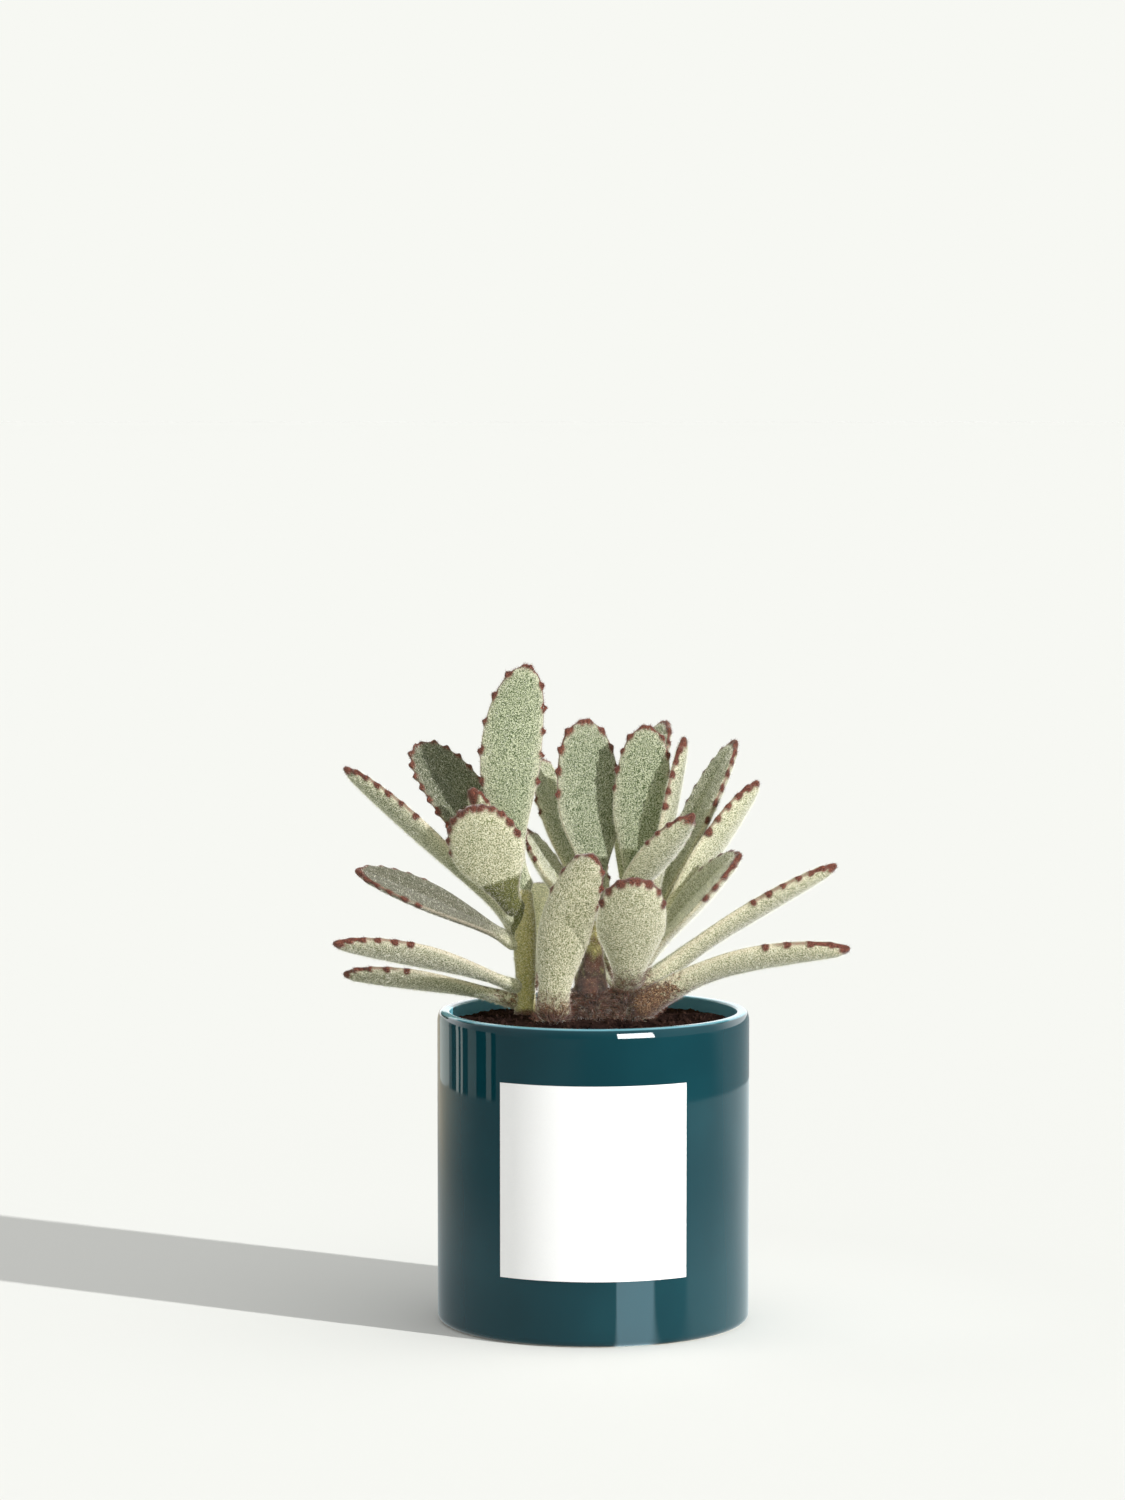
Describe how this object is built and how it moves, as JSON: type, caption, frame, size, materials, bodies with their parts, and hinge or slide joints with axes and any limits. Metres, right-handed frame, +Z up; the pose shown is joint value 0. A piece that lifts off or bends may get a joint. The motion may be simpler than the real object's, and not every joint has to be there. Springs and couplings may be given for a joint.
{
  "type": "panda plant",
  "caption": "Panda plant with thick felted leaves, brown-toothed at their ends, on short stems in a straight glazed pot with a bare paper label.",
  "frame": {"origin": "middle of the pot's foot, on the surface that the pot stands on", "axes": "+Z up through the pot's axis, -Y towards the label and the front of the picture, +X to the right of it"},
  "size_m": [0.1962, 0.123, 0.2519],
  "materials": {
    "glaze": "gloss",
    "paper": "matte",
    "earth": "matte",
    "bark": "matte",
    "felt": "matte"
  },
  "bodies": {
    "root": {"pot": "glaze", "label": "paper", "soil": "earth", "stem_left": "bark", "stem_front": "bark", "stem_centre": "bark", "stem_right": "bark", "leaf_left_1": "felt", "leaf_left_2": "felt", "leaf_left_3": "felt", "leaf_left_4": "felt", "leaf_left_5": "felt", "leaf_left_6": "felt", "leaf_left_7": "felt", "leaf_left_8": "felt", "leaf_left_9": "felt", "leaf_left_10": "felt", "leaf_left_11": "felt", "leaf_front_1": "felt", "leaf_centre_1": "felt", "leaf_centre_2": "felt", "leaf_centre_3": "felt", "leaf_centre_4": "felt", "leaf_centre_5": "felt", "leaf_centre_6": "felt", "leaf_right_1": "felt", "leaf_right_2": "felt", "leaf_right_3": "felt", "leaf_right_4": "felt", "leaf_right_5": "felt", "leaf_right_6": "felt", "leaf_right_7": "felt", "leaf_right_8": "felt", "leaf_right_9": "felt", "leaf_right_10": "felt", "leaf_right_11": "felt", "leaf_right_12": "felt"}
  },
  "joints": []
}
